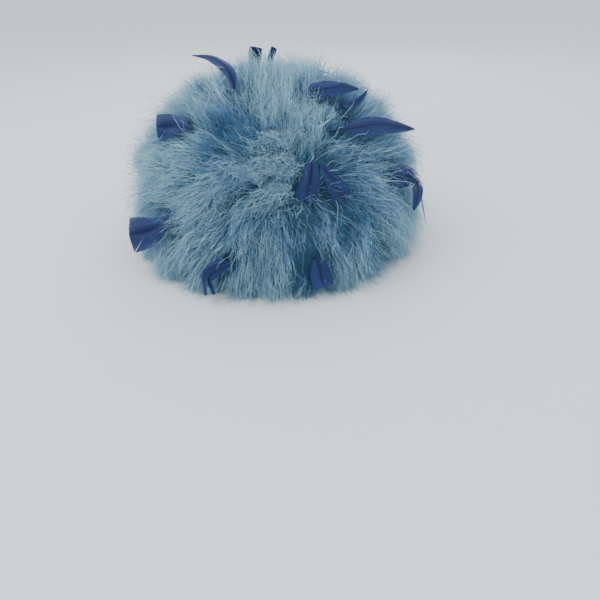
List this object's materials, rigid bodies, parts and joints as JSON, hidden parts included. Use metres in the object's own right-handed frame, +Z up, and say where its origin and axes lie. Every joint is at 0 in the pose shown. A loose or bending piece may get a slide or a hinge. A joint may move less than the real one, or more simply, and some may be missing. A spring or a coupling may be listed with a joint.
{
  "type": "marabou toque hat",
  "caption": "Round-crowned brimless dress hat covered all over in pale blue marabou down, with dark blue accent feathers, a stiffened lined crown and a ribbon sweatband.",
  "frame": {"origin": "centre of the overall box in plan, on the surface that the hat stands on", "axes": "+Z up through the crown, -Y the front of the hat, +X the wearer's left"},
  "size_m": [0.2641, 0.2731, 0.1625],
  "materials": {
    "buckram": "stiffened open weave, matte",
    "cover_cloth": "matte dyed cotton",
    "wire": "drawn wire",
    "binding_tape": "ribbed ribbon",
    "lining_silk": "satin",
    "sweat_ribbon": "grosgrain",
    "down_cord": "twisted thread, matte",
    "marabou_down": "soft dyed down, matte",
    "accent_vane": "dyed feather vane, satin"
  },
  "bodies": {
    "root": {"accent_feather_01a": "accent_vane", "accent_feather_01b": "accent_vane", "accent_feather_02a": "accent_vane", "accent_feather_03a": "accent_vane", "accent_feather_04a": "accent_vane", "accent_feather_04b": "accent_vane", "accent_feather_05a": "accent_vane", "accent_feather_05b": "accent_vane", "accent_feather_06a": "accent_vane", "accent_feather_06b": "accent_vane", "accent_feather_07a": "accent_vane", "accent_feather_08a": "accent_vane", "accent_feather_08b": "accent_vane", "accent_feather_09a": "accent_vane", "accent_feather_09b": "accent_vane", "accent_feather_10a": "accent_vane", "accent_feather_11a": "accent_vane", "accent_feather_12a": "accent_vane", "accent_feather_13a": "accent_vane", "accent_feather_13b": "accent_vane", "accent_feather_14a": "accent_vane", "accent_feather_14b": "accent_vane", "accent_feather_15a": "accent_vane", "accent_feather_15b": "accent_vane", "accent_feather_16a": "accent_vane", "accent_feather_17a": "accent_vane", "bow_knot": "sweat_ribbon", "bow_loop_left": "sweat_ribbon", "bow_loop_right": "sweat_ribbon", "cord_row_1": "down_cord", "cord_row_2": "down_cord", "cord_row_3": "down_cord", "cord_row_4": "down_cord", "cord_row_5": "down_cord", "cord_row_6": "down_cord", "cord_top": "down_cord", "crown_cover": "cover_cloth", "crown_side_band": "buckram", "crown_tip": "buckram", "edge_binding": "binding_tape", "edge_wire": "wire", "lining_side": "lining_silk", "lining_tip": "lining_silk", "marabou_row_1": "marabou_down", "marabou_row_2": "marabou_down", "marabou_row_3": "marabou_down", "marabou_row_4": "marabou_down", "marabou_row_5": "marabou_down", "marabou_row_6": "marabou_down", "marabou_top": "marabou_down", "sweatband": "sweat_ribbon", "tip_wire": "wire"}
  },
  "joints": []
}
